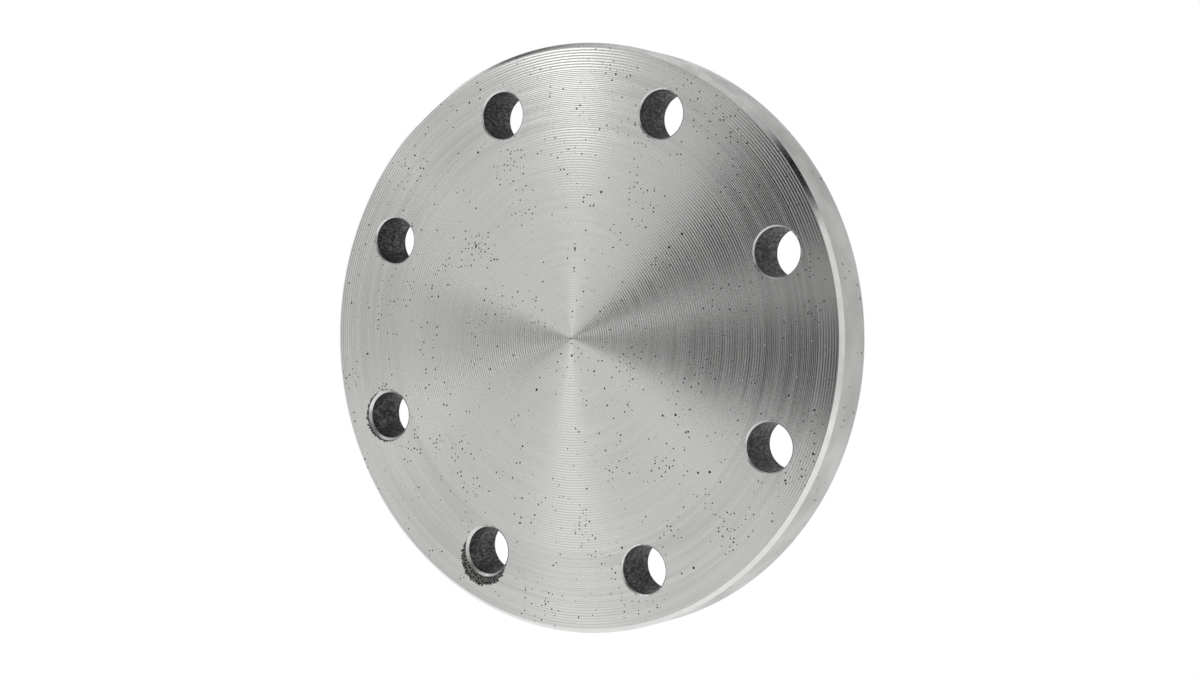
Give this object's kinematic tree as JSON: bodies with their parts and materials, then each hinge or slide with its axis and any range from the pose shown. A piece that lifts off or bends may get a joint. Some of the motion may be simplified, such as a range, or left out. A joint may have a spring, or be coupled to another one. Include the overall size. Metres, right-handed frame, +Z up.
{
  "type": "blind flange",
  "caption": "Flat-face blind pipe flange: a thick turned steel disc with a ring of drilled bolt holes, that closes the end of a pipe.",
  "frame": {"origin": "centre of the sealing face", "axes": "the flange stands upright: -Y is the outward normal of the sealing face, +Y runs through the thickness to the back face, +Z is up and lies midway between two bolt holes, +X is to the right when looking along +Y"},
  "size_m": [0.22, 0.02, 0.22],
  "materials": {
    "machined_steel": "turned carbon steel with fine concentric tool marks, about Ra 6.3 on the sealing face; bare, lightly pitted"
  },
  "bodies": {
    "root": {"blind_flange_disc": "machined_steel"}
  },
  "joints": []
}
